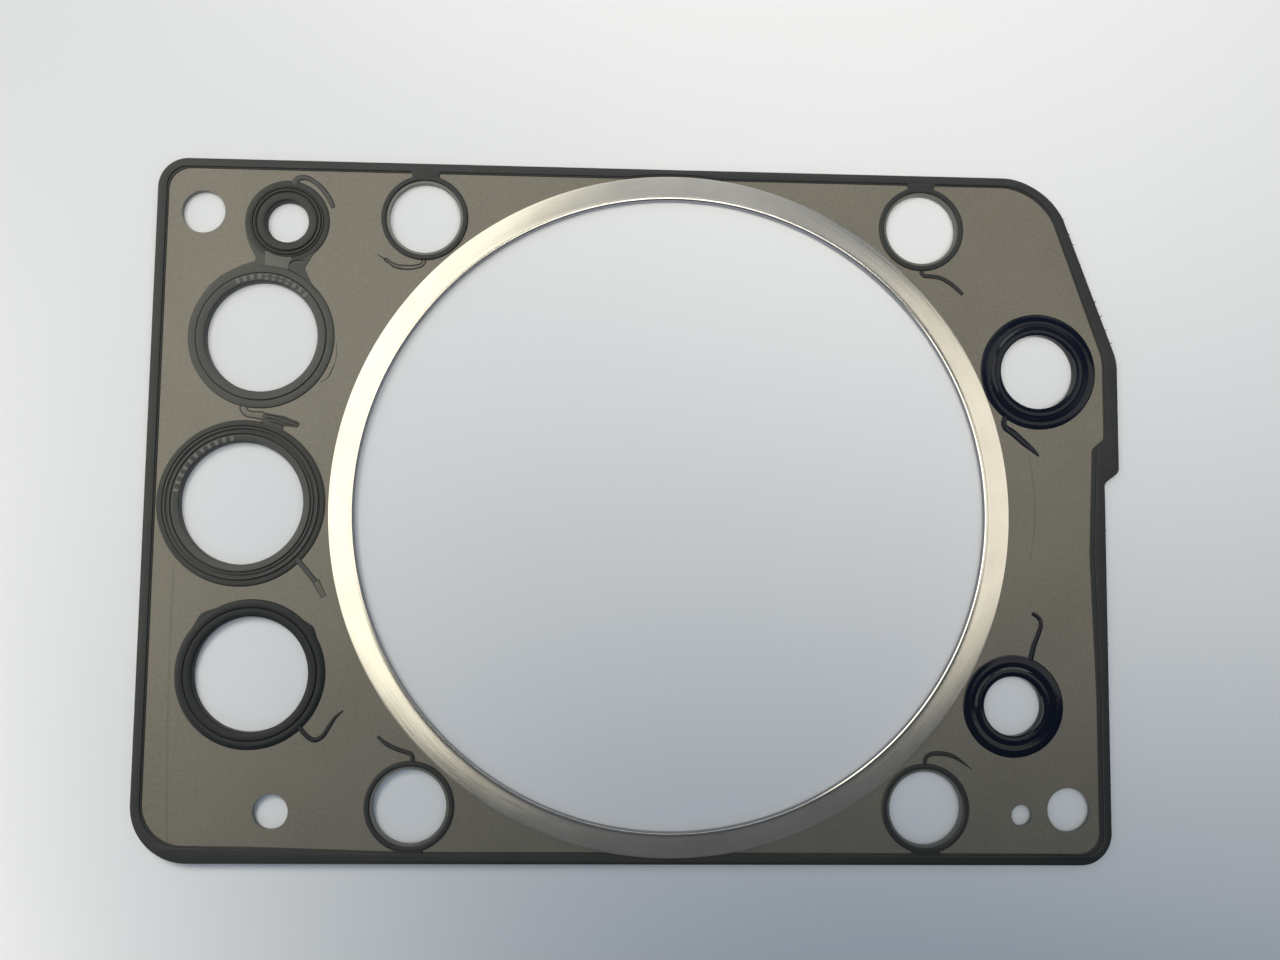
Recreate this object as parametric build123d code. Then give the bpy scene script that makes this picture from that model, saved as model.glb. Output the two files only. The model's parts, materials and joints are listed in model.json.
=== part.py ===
from build123d import *
import math
import os

# Cylinder head gasket for one cylinder of a heavy diesel engine, in millimetres.
# Origin: axis of the cylinder bore, at the middle of the plate's thickness.
# +Z points from the block to the head, +X along the long side, away from the large ports.
# A coated steel plate carries a folded steel fire ring round the bore. The rubber parts are
# moulded onto the plate: each grips an edge of it and stands proud of both its faces.

# ---- driving dimensions ----

# steel
PLATE_THICKNESS = 1.3
BORE_RADIUS = 65.5
SHEET = 0.25              # sheet that the fire ring is folded from
RING_CLEARANCE = 0.05     # between the plate's bore and the fold
LIP_WIDTH = 0.85          # rounded lip next to the bore
LIP_RISE = 0.16           # of the lip above the flat sheet
LIP_ROUND = 0.22          # bevel from the lip to the bore's wall
RING_GROOVE_WIDTH = 0.6
RING_BAND_WIDTH = 3.55    # sloping band outside the groove
BAND_RISE = 0.09          # of the band's inner side above the flat sheet

# rubber, heights above the plate's face
BEAD_HEIGHT = 0.45
SKIRT_HEIGHT = 0.25       # of a seal's outermost land
GROOVE_FLOOR = 0.1        # rubber left under a groove
TAIL_HEIGHT = 0.3
TAIL_ROOT = 0.4           # length of a tail inside its seal's edge
DRAFT = 0.15              # run of a bead's sloping side
RUBBER_OUTSIDE_PLATE = 1.0
WALL_IN_HOLE = 1.0        # rubber between an opening and the plate's hole

# head bolts
BOLT_HOLE_RADIUS = 7.45
BOLT_LAND = 0.45          # bare steel between hole and bead
BOLT_BEAD_WIDTH = 1.2
BOLT_TO_RING = 0.5
WEB_WIDTH = 5.2           # joins a bolt bead to the edge band

# openings in the moulded seals, and the widths of the lands and grooves round them
SMALL_PORT_RADIUS = 4.4
UPPER_PORT_RADIUS = 11.5
MIDDLE_PORT_RADIUS = 12.55
LOWER_PORT_RADIUS = 11.6
UPPER_PASSAGE_RADIUS = 7.9
LOWER_PASSAGE_RADIUS = 6.1
PORT_LIP = 1.55
SMALL_PORT_LIP = 1.35
MIDDLE_PORT_LIP = 1.35
PASSAGE_LIP = 1.9
SEAL_GROOVE = 0.5
SMALL_PORT_RIDGE = 0.8
MIDDLE_PORT_RIDGE = 0.45
PORT_SKIRT = 1.45
SMALL_PORT_SKIRT = 1.2
MIDDLE_PORT_SKIRT = 1.7
PASSAGE_SKIRT = 2.0

# where the seals lie
MIDDLE_PORT_TO_RING = 0.65
MIDDLE_PORT_Y = 0.2
PORT_GAP = 2.45           # between neighbouring large port seals
UPPER_PORT_INSET = 2.8    # from the middle port's axis, along X
LOWER_PORT_INSET = 3.1
SMALL_PORT_GAP = 0.95
SMALL_PORT_ANGLE = 79.5   # seen from the upper port
SMALL_PORT_WEB_WIDTH = 10.6
UPPER_PASSAGE_ANGLE = 21.4
UPPER_PASSAGE_TO_RING = 0.2
LOWER_PASSAGE_ANGLE = -29.2
LOWER_PASSAGE_TO_RING = 0.35

# edge band, seen from above
BAND_TO_RING = 0.15
BAND_OVER_RING = 1.35     # least width of the upper band, where the fire ring reaches it
BAND_TO_SMALL_PORT = 2.2  # least gap
BAND_TO_PORT = 0.1
BAND_TOP = 2.05
BAND_LEFT = 2.3
BAND_BOTTOM = 2.35
BAND_BOTTOM_LEFT = 3.15
BAND_RIGHT_UPPER = 3.05
BAND_RIGHT_LOWER = 2.45
BAND_SWELL = 0.9          # extra width of the lower right side, where it is widest
SWELL_DROP = 24.0         # widest place below the inner step
SWELL_END_DROP = 54.0     # end of the swell below the inner step
SWELL_ROUND = 14.0
TOP_WEB = 0.35            # between a bolt bead and the band, upper side
BOTTOM_WEB = -0.2         # the lower bolt beads run into the band
WEB_IN_BAND = 0.4         # length of a bolt bead's web inside the band
PASSAGE_TO_BAND = 1.55
SLANT_ANGLE = 20.0        # of the upper right side, from vertical
SLANT_END_RISE = 2.6      # its lower end above the upper passage's axis
STEP_DEPTH = 3.1          # the right side steps in below the upper passage
STEP_DROP = 21.1          # below the upper passage's axis
STEP_HEIGHT = 2.4
INNER_STEP_DROP = 14.4
INNER_STEP_HEIGHT = 1.9
STEP_ROUND = 1.4
UPPER_LEFT_ROUND = 6.2
LOWER_LEFT_ROUND = 11.5
LOWER_RIGHT_ROUND = 6.5
UPPER_RIGHT_ROUND = 14.2
SLANT_END_ROUND = 10.0

# plain holes in the plate
LOCATING_HOLE_RADIUS = 4.5
UPPER_LOCATING_INSET_X = 9.4
UPPER_LOCATING_INSET_Y = 11.2
LOWER_LOCATING_INSET_X = 8.7
LOWER_LOCATING_INSET_Y = 11.0
LEFT_HOLE_RADIUS = 3.55
LEFT_HOLE_INSET_X = 27.5
LEFT_HOLE_INSET_Y = 10.1
RIGHT_HOLE_RADIUS = 2.17
RIGHT_HOLE_PITCH = 9.8    # from the lower locating hole
RIGHT_HOLE_DROP = 1.1

# ---- derived places ----

plate_top = PLATE_THICKNESS / 2
bead_top = plate_top + BEAD_HEIGHT
ring_outer = BORE_RADIUS + LIP_WIDTH + RING_GROOVE_WIDTH + RING_BAND_WIDTH
plate_bore = BORE_RADIUS + SHEET + RING_CLEARANCE

bolt_bead_inner = BOLT_HOLE_RADIUS + BOLT_LAND
bolt_bead_outer = bolt_bead_inner + BOLT_BEAD_WIDTH
bolt_circle = ring_outer + BOLT_TO_RING + bolt_bead_outer

# each seal's lands on the head side, outwards from its opening, with a groove between them
port_lands = (PORT_LIP, PORT_SKIRT)
small_port_lands = (SMALL_PORT_LIP, SMALL_PORT_RIDGE, SMALL_PORT_SKIRT)
middle_port_lands = (MIDDLE_PORT_LIP, MIDDLE_PORT_RIDGE, MIDDLE_PORT_SKIRT)
passage_lands = (PASSAGE_LIP, PASSAGE_SKIRT)


def outer_radius(opening, lands):
    """Radius of a seal's edge, from its opening and its lands."""
    return opening + sum(lands) + SEAL_GROOVE * (len(lands) - 1)


small_port_outer = outer_radius(SMALL_PORT_RADIUS, small_port_lands)
upper_port_outer = outer_radius(UPPER_PORT_RADIUS, port_lands)
middle_port_outer = outer_radius(MIDDLE_PORT_RADIUS, middle_port_lands)
lower_port_outer = outer_radius(LOWER_PORT_RADIUS, port_lands)
upper_passage_outer = outer_radius(UPPER_PASSAGE_RADIUS, passage_lands)
lower_passage_outer = outer_radius(LOWER_PASSAGE_RADIUS, passage_lands)


def polar(radius, degrees, centre=(0, 0)):
    """Point at a radius and an angle from a centre."""
    angle = math.radians(degrees)
    return (centre[0] + radius * math.cos(angle), centre[1] + radius * math.sin(angle))


middle_port = (-(ring_outer + MIDDLE_PORT_TO_RING + middle_port_outer), MIDDLE_PORT_Y)
upper_port = (middle_port[0] + UPPER_PORT_INSET,
              middle_port[1] + middle_port_outer + PORT_GAP + upper_port_outer)
lower_port = (middle_port[0] + LOWER_PORT_INSET,
              middle_port[1] - middle_port_outer - PORT_GAP - lower_port_outer)
small_port = polar(upper_port_outer + SMALL_PORT_GAP + small_port_outer, SMALL_PORT_ANGLE, upper_port)
upper_passage = polar(ring_outer + UPPER_PASSAGE_TO_RING + upper_passage_outer, UPPER_PASSAGE_ANGLE)
lower_passage = polar(ring_outer + LOWER_PASSAGE_TO_RING + lower_passage_outer, LOWER_PASSAGE_ANGLE)

left = middle_port[0] - middle_port_outer - BAND_TO_PORT - BAND_LEFT
top = max(ring_outer + BAND_TO_RING + BAND_OVER_RING,
          small_port[1] + small_port_outer + BAND_TO_SMALL_PORT + BAND_TOP)
bolt_y = top - BAND_TOP - TOP_WEB - bolt_bead_outer
bolt_x = math.sqrt(bolt_circle ** 2 - bolt_y ** 2)
bottom = -(bolt_y + bolt_bead_outer + BOTTOM_WEB + BAND_BOTTOM)
right = upper_passage[0] + upper_passage_outer + PASSAGE_TO_BAND + BAND_RIGHT_UPPER
right_lower = right - STEP_DEPTH
slant_end_y = upper_passage[1] + SLANT_END_RISE
slant_top_x = right - (top - slant_end_y) * math.tan(math.radians(SLANT_ANGLE))
step_y = upper_passage[1] - STEP_DROP
inner_step_y = upper_passage[1] - INNER_STEP_DROP

upper_locating = (left + UPPER_LOCATING_INSET_X, top - UPPER_LOCATING_INSET_Y)
lower_locating = (right_lower - LOWER_LOCATING_INSET_X, bottom + LOWER_LOCATING_INSET_Y)
left_hole = (left + LEFT_HOLE_INSET_X, bottom + LEFT_HOLE_INSET_Y)
right_hole = (lower_locating[0] - RIGHT_HOLE_PITCH, lower_locating[1] - RIGHT_HOLE_DROP)

# ---- shared shapes ----


def disc(radius, centre=(0, 0)):
    """Flat disc at a point of the plate."""
    return Pos(*centre) * Circle(radius)


def slab(face, low, high):
    """Face drawn out from one height to another."""
    return extrude(Pos(0, 0, low) * face, high - low)


def ring_of(section, centre=(0, 0)):
    """Section of (radius, height) points turned about an upright axis."""
    face = make_face(Plane.XZ * Polyline(*section, close=True))
    return Pos(*centre) * revolve(face, Axis.Z)


def rounded(corners, inset=0.0):
    """Closed outline through (x, y, radius) corners, drawn in by an inset all round."""
    line = FilletPolyline(*[(x, y) for x, y, _ in corners], radius=[r for _, _, r in corners], close=True)
    face = make_face(line)
    return offset(face, -inset) if inset else face


def strip(stations):
    """Flat strip along (x, y, width) stations, square across its ends."""
    one_side = []
    other_side = []
    for i, (x, y, width) in enumerate(stations):
        x0, y0, _ = stations[max(i - 1, 0)]
        x1, y1, _ = stations[min(i + 1, len(stations) - 1)]
        length = math.hypot(x1 - x0, y1 - y0)
        across = ((y0 - y1) / length * width / 2, (x1 - x0) / length * width / 2)
        one_side.append((x + across[0], y + across[1]))
        other_side.append((x - across[0], y - across[1]))
    return make_face(Polyline(*one_side, *reversed(other_side), close=True))


def tail(centre, outer, angle, steps):
    """Moulding tail that leaves a seal's edge at an angle, through (dx, dy, width) stations from there."""
    root = polar(outer, angle, centre)
    start = polar(outer - TAIL_ROOT, angle, centre)
    stations = [(*start, steps[0][2])] + [(root[0] + dx, root[1] + dy, w) for dx, dy, w in steps]
    return slab(strip(stations), plate_top, plate_top + TAIL_HEIGHT)


def curled_tail(centre, stations):
    """Moulding tail along (radius, angle, width) stations about a seal's centre."""
    points = [(*polar(radius, angle, centre), width) for radius, angle, width in stations]
    return slab(strip(points), plate_top, plate_top + TAIL_HEIGHT)


def moulded_seal(centre, opening, lands):
    """Rubber ring that grips a hole's edge: lands with grooves between them above the plate, flat below it."""
    head_side = []
    radius = opening
    for i, width in enumerate(lands):
        last = i == len(lands) - 1
        height = plate_top + (SKIRT_HEIGHT if last else BEAD_HEIGHT)
        head_side += [(radius, height), (radius + width, height)]
        if not last:
            head_side.append((radius + width + SEAL_GROOVE / 2, plate_top + GROOVE_FLOOR))
            radius += width + SEAL_GROOVE
    outer = outer_radius(opening, lands)
    hole = opening + WALL_IN_HOLE
    slot = [(outer, plate_top), (hole, plate_top), (hole, -plate_top), (outer, -plate_top)]
    block_side = [(outer, -bead_top), (opening, -bead_top)]
    return ring_of(head_side + slot + block_side, centre)


# ---- fire ring ----
# One strip of stainless sheet folded round the bore's edge. A rounded lip stands next to the
# bore, then a fine groove, then a band that slopes down to the sheet's edge on the plate.


def fire_ring():
    sheet_top = plate_top + SHEET
    lip_top = sheet_top + LIP_RISE
    lip_outer = BORE_RADIUS + LIP_WIDTH
    head_side = [
        (BORE_RADIUS, lip_top - LIP_ROUND),
        (BORE_RADIUS + LIP_ROUND, lip_top),
        (lip_outer - LIP_ROUND, lip_top),
        (lip_outer, sheet_top),
        (lip_outer + RING_GROOVE_WIDTH, sheet_top + BAND_RISE),
        (ring_outer, sheet_top),
    ]
    inside = [(ring_outer, plate_top), (BORE_RADIUS + SHEET, plate_top),
              (BORE_RADIUS + SHEET, -plate_top), (ring_outer, -plate_top)]
    block_side = [(ring_outer, -sheet_top), (BORE_RADIUS + LIP_ROUND, -sheet_top),
                  (BORE_RADIUS, LIP_ROUND - sheet_top)]
    return ring_of(head_side + inside + block_side)


# ---- edge seal ----
# One rubber moulding: the band round the whole plate, and the beads round the four bolt holes,
# each joined to the band by a web.

outline = [
    (left, top, UPPER_LEFT_ROUND),
    (slant_top_x, top, UPPER_RIGHT_ROUND),
    (right, slant_end_y, SLANT_END_ROUND),
    (right, step_y, STEP_ROUND),
    (right_lower, step_y - STEP_HEIGHT, STEP_ROUND),
    (right_lower, bottom, LOWER_RIGHT_ROUND),
    (left, bottom, LOWER_LEFT_ROUND),
]
inner_right = right_lower - BAND_RIGHT_LOWER
inner_outline = [
    (left + BAND_LEFT, top - BAND_TOP, UPPER_LEFT_ROUND - BAND_TOP),
    (slant_top_x - BAND_TOP * math.tan(math.radians(45 - SLANT_ANGLE / 2)), top - BAND_TOP,
     UPPER_RIGHT_ROUND - BAND_TOP),
    (right - BAND_RIGHT_UPPER, slant_end_y, SLANT_END_ROUND),
    (right - BAND_RIGHT_UPPER, inner_step_y, STEP_ROUND),
    (inner_right, inner_step_y - INNER_STEP_HEIGHT, STEP_ROUND),
    (inner_right - BAND_SWELL, inner_step_y - SWELL_DROP, SWELL_ROUND),
    (inner_right, inner_step_y - SWELL_END_DROP, SWELL_ROUND),
    (inner_right, bottom + BAND_BOTTOM, LOWER_RIGHT_ROUND - BAND_BOTTOM),
    (-bolt_x, bottom + BAND_BOTTOM, 0),
    (lower_port[0], bottom + BAND_BOTTOM_LEFT, 0),
    (left + BAND_LEFT, bottom + BAND_BOTTOM_LEFT, LOWER_LEFT_ROUND - BAND_BOTTOM_LEFT),
]
plate_outline = rounded(outline, RUBBER_OUTSIDE_PLATE)
bolts = [(x, y) for x in (-bolt_x, bolt_x) for y in (bolt_y, -bolt_y)]

BOLT_TAILS = {
    (-1, 1): [(0.1, -0.7, 0.9), (-1.5, -1.4, 0.9), (-4.0, -1.5, 0.9), (-6.3, -1.0, 0.8),
              (-7.7, -0.1, 0.5), (-9.7, 1.2, 0.15)],
    (1, 1): [(0.3, -0.7, 0.95), (2.0, -1.1, 0.95), (4.0, -1.4, 0.95), (6.0, -2.4, 0.95),
             (7.5, -3.6, 0.95), (8.9, -4.9, 0.8)],
    (-1, -1): [(0.3, 1.1, 0.95), (-0.7, 1.5, 0.9), (-2.9, 2.2, 0.95), (-4.9, 3.3, 0.9),
               (-6.6, 4.6, 0.6)],
    (1, -1): [(0.1, 0.9, 0.9), (1.1, 1.8, 0.9), (3.0, 2.0, 0.95), (5.5, 1.6, 0.9),
              (7.6, 0.4, 0.6), (9.7, -1.3, 0.15)],
}


def bolt_bead(centre):
    """Raised bead round one bolt hole, on both faces, with the web to the band."""
    section = [(bolt_bead_inner, 0), (bolt_bead_inner + DRAFT, bead_top),
               (bolt_bead_outer - DRAFT, bead_top), (bolt_bead_outer, 0),
               (bolt_bead_outer - DRAFT, -bead_top), (bolt_bead_inner + DRAFT, -bead_top)]
    x, y = centre
    side = math.copysign(1, y)
    near = abs(y) + bolt_bead_inner + BOLT_BEAD_WIDTH / 2
    far = (top - BAND_TOP if y > 0 else -bottom - BAND_BOTTOM) + WEB_IN_BAND
    web = Pos(x, side * (near + far) / 2) * Rectangle(WEB_WIDTH, far - near)
    return ring_of(section, centre) + slab(web, -bead_top, bead_top)


def edge_seal():
    solid = slab(rounded(outline) - rounded(inner_outline), -bead_top, bead_top)
    for centre in bolts:
        solid += bolt_bead(centre)
    solid -= slab(disc(ring_outer + BAND_TO_RING), -bead_top, bead_top)
    solid -= slab(plate_outline, -plate_top, plate_top)
    for (side_x, side_y), steps in BOLT_TAILS.items():
        solid += tail((side_x * bolt_x, side_y * bolt_y), bolt_bead_outer, -90 * side_y, steps)
    return solid


# ---- port and passage seals ----
# Each is one rubber moulding round the edge of its hole. A thin tail is left where the rubber
# was fed into the mould.


def twin_port_seal():
    """The small port and the upper port share one moulding, joined by a web."""
    solid = moulded_seal(small_port, SMALL_PORT_RADIUS, small_port_lands)
    solid += moulded_seal(upper_port, UPPER_PORT_RADIUS, port_lands)
    between = ((small_port[0] + upper_port[0]) / 2, (small_port[1] + upper_port[1]) / 2)
    reach = math.dist(small_port, upper_port)
    web = Pos(*between) * Rot(0, 0, SMALL_PORT_ANGLE) * Rectangle(reach, SMALL_PORT_WEB_WIDTH)
    web -= disc(upper_port_outer - DRAFT, upper_port) + disc(small_port_outer - DRAFT, small_port)
    solid += slab(web, plate_top, plate_top + SKIRT_HEIGHT)
    solid += curled_tail(small_port, [
        (small_port_outer - TAIL_ROOT, 84, 1.2), (small_port_outer + 0.7, 77, 1.0),
        (small_port_outer + 1.15, 68, 1.0), (small_port_outer + 1.15, 50, 1.0),
        (small_port_outer + 1.1, 34, 1.0), (small_port_outer + 1.1, 20, 0.9)])
    solid += tail(upper_port, upper_port_outer, -102, [
        (0.2, -0.8, 1.3), (0.9, -1.4, 1.3), (2.0, -1.6, 1.3), (3.9, -1.7, 1.2)])
    return solid


def middle_port_seal():
    solid = moulded_seal(middle_port, MIDDLE_PORT_RADIUS, middle_port_lands)
    solid += curled_tail(middle_port, [
        (middle_port_outer + 0.9, 77.5, 2.3), (middle_port_outer + 1.05, 71.5, 2.6),
        (middle_port_outer + 1.3, 65, 2.9), (middle_port_outer + 1.45, 60.5, 2.7),
        (middle_port_outer + 2.1, 56.5, 1.6)])
    solid += tail(middle_port, middle_port_outer, -44, [(2.8, -3.5, 1.15), (5.0, -6.9, 1.1)])
    return solid


def lower_port_seal():
    solid = moulded_seal(lower_port, LOWER_PORT_RADIUS, port_lands)
    solid += tail(lower_port, lower_port_outer, -45.8, [
        (1.4, -1.5, 1.0), (2.8, -2.3, 1.0), (4.2, -1.7, 1.0), (5.6, 0.3, 0.9), (6.9, 2.3, 0.7),
        (8.3, 3.7, 0.3)])
    return solid


def upper_passage_seal():
    solid = moulded_seal(upper_passage, UPPER_PASSAGE_RADIUS, passage_lands)
    solid += tail(upper_passage, upper_passage_outer, -125, [
        (-0.2, -1.3, 1.2), (1.8, -2.7, 1.2), (4.2, -4.8, 1.1), (6.0, -6.3, 0.8), (7.2, -7.6, 0.5)])
    return solid


def lower_passage_seal():
    solid = moulded_seal(lower_passage, LOWER_PASSAGE_RADIUS, passage_lands)
    solid += tail(lower_passage, lower_passage_outer, 68, [
        (0.7, 2.9, 1.2), (1.8, 5.4, 1.1), (2.2, 7.1, 1.0), (1.8, 8.4, 0.9), (0.4, 9.3, 0.6)])
    return solid


# ---- carrier plate ----
# Punched from coated steel sheet. Its edge lies inside the band, and each port and passage hole
# is larger than the seal's opening by the rubber's wall.


def carrier_plate():
    plate = plate_outline - disc(plate_bore)
    for centre in bolts:
        plate -= disc(BOLT_HOLE_RADIUS, centre)
    for centre, opening in [(small_port, SMALL_PORT_RADIUS), (upper_port, UPPER_PORT_RADIUS),
                            (middle_port, MIDDLE_PORT_RADIUS), (lower_port, LOWER_PORT_RADIUS),
                            (upper_passage, UPPER_PASSAGE_RADIUS),
                            (lower_passage, LOWER_PASSAGE_RADIUS)]:
        plate -= disc(opening + WALL_IN_HOLE, centre)
    for centre, radius in [(upper_locating, LOCATING_HOLE_RADIUS), (lower_locating, LOCATING_HOLE_RADIUS),
                           (left_hole, LEFT_HOLE_RADIUS), (right_hole, RIGHT_HOLE_RADIUS)]:
        plate -= disc(radius, centre)
    return slab(plate, -plate_top, plate_top)


# ---- one file for each piece ----

pieces = {
    "carrier_plate": carrier_plate(),
    "fire_ring": fire_ring(),
    "edge_seal": edge_seal(),
    "twin_port_seal": twin_port_seal(),
    "middle_port_seal": middle_port_seal(),
    "lower_port_seal": lower_port_seal(),
    "upper_passage_seal": upper_passage_seal(),
    "lower_passage_seal": lower_passage_seal(),
}
os.makedirs("parts", exist_ok=True)
for name, solid in pieces.items():
    export_step(solid, f"parts/{name}.step")
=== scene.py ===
import json
import math
import random
import bpy
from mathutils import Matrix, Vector


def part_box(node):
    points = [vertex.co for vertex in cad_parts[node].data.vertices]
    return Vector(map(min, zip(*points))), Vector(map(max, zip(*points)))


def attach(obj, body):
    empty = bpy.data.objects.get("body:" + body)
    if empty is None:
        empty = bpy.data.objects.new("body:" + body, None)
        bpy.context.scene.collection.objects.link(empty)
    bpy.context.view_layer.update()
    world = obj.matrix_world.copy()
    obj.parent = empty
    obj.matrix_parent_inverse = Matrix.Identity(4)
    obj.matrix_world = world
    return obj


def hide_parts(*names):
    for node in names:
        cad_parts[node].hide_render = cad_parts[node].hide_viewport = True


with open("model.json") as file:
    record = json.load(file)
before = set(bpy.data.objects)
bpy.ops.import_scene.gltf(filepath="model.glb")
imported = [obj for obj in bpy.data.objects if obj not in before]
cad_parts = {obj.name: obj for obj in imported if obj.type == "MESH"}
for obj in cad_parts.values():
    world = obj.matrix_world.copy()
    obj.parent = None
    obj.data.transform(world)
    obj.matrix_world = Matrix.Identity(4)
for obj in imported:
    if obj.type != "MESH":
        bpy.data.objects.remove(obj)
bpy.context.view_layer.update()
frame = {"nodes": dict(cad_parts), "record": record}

# ---- camera ----
# Hand-held above the gasket, a little to its left and towards its lower edge.
tilt = tuple(math.radians(angle) for angle in (4.3097, -2.1951, 0.6813))
bpy.ops.object.camera_add(location=(-0.015315, -0.011249, 0.229363), rotation=tilt)
camera = bpy.context.object
camera.data.lens = 31.134
camera.data.sensor_width = 36
bpy.context.scene.camera = camera

# ---- fire ring ----
# It seals in the cylinder's gas. One strip of stainless sheet is folded round the edge of the
# plate's bore: a rounded lip next to the bore, a fine groove rolled beside it, and a slightly
# convex band that ends on the plate.
bores = [mount for mount in frame["record"]["mounts"] if mount["kind"] == "bore"]
# pieces are modelled in millimetres, about the bore's axis, and brought to metres once made
opening = {mount["name"]: mount["dims"]["r_mm"] for mount in bores}
bore_edge = opening["cylinder_bore"]
ring_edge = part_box("fire_ring")[1].x * 1000
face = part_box("carrier_plate")[1].z * 1000      # the plate's head side, above its middle


def traced(corners, rounds=()):
    """Closed face drawn corner by corner, each corner rounded where a radius is given for it."""
    bpy.ops.object.select_all(action="DESELECT")
    bpy.ops.mesh.primitive_plane_add(size=1)
    drawn = bpy.context.object
    bpy.ops.object.mode_set(mode="EDIT")
    bpy.ops.mesh.merge(type="CENTER")
    here = Vector(corners[0])
    bpy.ops.transform.translate(value=here)
    for corner in corners[1:]:
        step = Vector(corner) - here
        bpy.ops.mesh.extrude_vertices_move(TRANSFORM_OT_translate={"value": step})
        here += step
    bpy.ops.mesh.select_all(action="SELECT")
    bpy.ops.mesh.edge_face_add()
    longest = 0.35      # side of a rounded corner
    for i, radius in enumerate(rounds):
        if radius:
            a, b, c = (Vector(corners[j % len(corners)]) for j in (i - 1, i, i + 1))
            turn = (b - a).angle(c - b)
            bpy.ops.mesh.select_all(action="DESELECT")
            bpy.ops.object.mode_set(mode="OBJECT")
            nearest = min(drawn.data.vertices, key=lambda v: (v.co - b).length)
            nearest.select = True
            bpy.ops.object.mode_set(mode="EDIT")
            bpy.ops.mesh.select_mode(type="VERT")
            bpy.ops.mesh.bevel(offset_type="OFFSET", offset=radius * math.tan(turn / 2),
                               segments=max(2, round(radius * turn / longest)),
                               affect="VERTICES")
    bpy.ops.object.mode_set(mode="OBJECT")
    return drawn


def turned(section, steps, centre=(0.0, 0.0), softness=0.04):
    """Closed (radius, height) section with softened corners, turned about an upright axis."""
    x, y = centre
    ring = traced([(x + radius, y, height) for radius, height in section])
    bpy.ops.object.mode_set(mode="EDIT")
    bpy.ops.mesh.select_all(action="SELECT")
    bpy.ops.mesh.bevel(offset_type="OFFSET", offset=softness, segments=2, affect="VERTICES")
    bpy.ops.mesh.select_all(action="SELECT")
    bpy.ops.mesh.delete(type="ONLY_FACE")
    bpy.ops.mesh.select_all(action="SELECT")
    bpy.ops.mesh.spin(steps=steps, angle=math.tau, center=(x, y, 0), axis=(0, 0, 1))
    bpy.ops.mesh.select_all(action="SELECT")
    bpy.ops.mesh.remove_doubles(threshold=0.0002)
    bpy.ops.mesh.normals_make_consistent(inside=False)
    bpy.ops.object.mode_set(mode="OBJECT")
    crown = max(ring.data.polygons, key=lambda side: side.center.z)
    if crown.normal.z < 0:
        ring.data.flip_normals()
    return ring


def settled(pieces, name, node, finish):
    """Joins what was made together, brings it to metres and puts it in its node's place."""
    bpy.ops.object.select_all(action="DESELECT")
    for piece in pieces:
        if not piece.data.materials:
            piece.data.materials.append(finish)
        piece.select_set(True)
    bpy.context.view_layer.objects.active = pieces[0]
    if len(pieces) > 1:
        bpy.ops.object.join()
    whole = bpy.context.object
    whole.name = name
    whole.scale = (0.001, 0.001, 0.001)
    bpy.ops.object.transform_apply(location=True, rotation=True, scale=True)
    bpy.ops.object.shade_smooth_by_angle(angle=math.radians(32))
    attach(whole, "root")
    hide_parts(node)


def new_finish(name, colour, roughness, metallic=0.0):
    """Material with its plain colour and roughness; returns it, its nodes and its shader."""
    finish = bpy.data.materials.new(name)
    finish.use_nodes = True
    tree = finish.node_tree
    shader = tree.nodes["Principled BSDF"]
    shader.inputs["Base Color"].default_value = (*colour, 1)
    shader.inputs["Roughness"].default_value = roughness
    shader.inputs["Metallic"].default_value = metallic
    return finish, tree, shader


def wired(tree, kind, inputs, **settings):
    """Node with its settings, and with its inputs set or linked."""
    made = tree.nodes.new("ShaderNode" + kind)
    for key, value in settings.items():
        setattr(made, key, value)
    for key, value in inputs.items():
        if isinstance(value, bpy.types.NodeSocket):
            tree.links.new(value, made.inputs[key])
        else:
            made.inputs[key].default_value = value
    return made


def reckoned(tree, operation, *terms):
    """Result of one sum on numbers or on what other nodes give."""
    return wired(tree, "Math", dict(enumerate(terms)), operation=operation).outputs[0]


def spread(tree, amount, low, high):
    """Amount from 0 to 1, spread from one value to another."""
    ends = {"Value": amount, "To Min": low, "To Max": high}
    return wired(tree, "MapRange", ends).outputs[0]


def mixed(tree, amount, low, high):
    """Colour between two others, each written out or given by a node."""
    low, high = ((*end, 1) if isinstance(end, tuple) else end for end in (low, high))
    return wired(tree, "Mix", {0: amount, 6: low, 7: high}, data_type="RGBA").outputs[2]


def band_of(tree, value, low, high, fade):
    """1 where a value lies between two limits, fading to 0 outside them."""
    rise = {"Value": value, "From Min": low - fade, "From Max": low}
    fall = {"Value": value, "From Min": high, "From Max": high + fade,
            "To Min": 1.0, "To Max": 0.0}
    return reckoned(tree, "MULTIPLY", wired(tree, "MapRange", rise).outputs[0],
                    wired(tree, "MapRange", fall).outputs[0])


def place_on(tree):
    """Place on the piece, in metres."""
    return wired(tree, "TexCoord", {}).outputs["Object"]


def length_of(tree, across, along):
    """Length of a step across and along the plate."""
    step = wired(tree, "CombineXYZ", {0: across, 1: along}).outputs[0]
    return wired(tree, "VectorMath", {0: step}, operation="LENGTH").outputs["Value"]


def grain(tree, scale, detail=3.0):
    """Noise over the piece, in features per metre."""
    noise = {"Vector": place_on(tree), "Scale": scale, "Detail": detail, "Roughness": 0.6}
    return wired(tree, "TexNoise", noise).outputs["Fac"]


def round_grain(tree, radius, angle, across, along, detail):
    """Noise that runs round with the ring, in features per metre across and radian along it."""
    place = wired(tree, "CombineXYZ", {0: reckoned(tree, "MULTIPLY", radius, across),
                                       1: reckoned(tree, "MULTIPLY", angle, along)}).outputs[0]
    noise = {"Vector": place, "Scale": 1.0, "Detail": detail}
    return wired(tree, "TexNoise", noise).outputs["Fac"]


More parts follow.
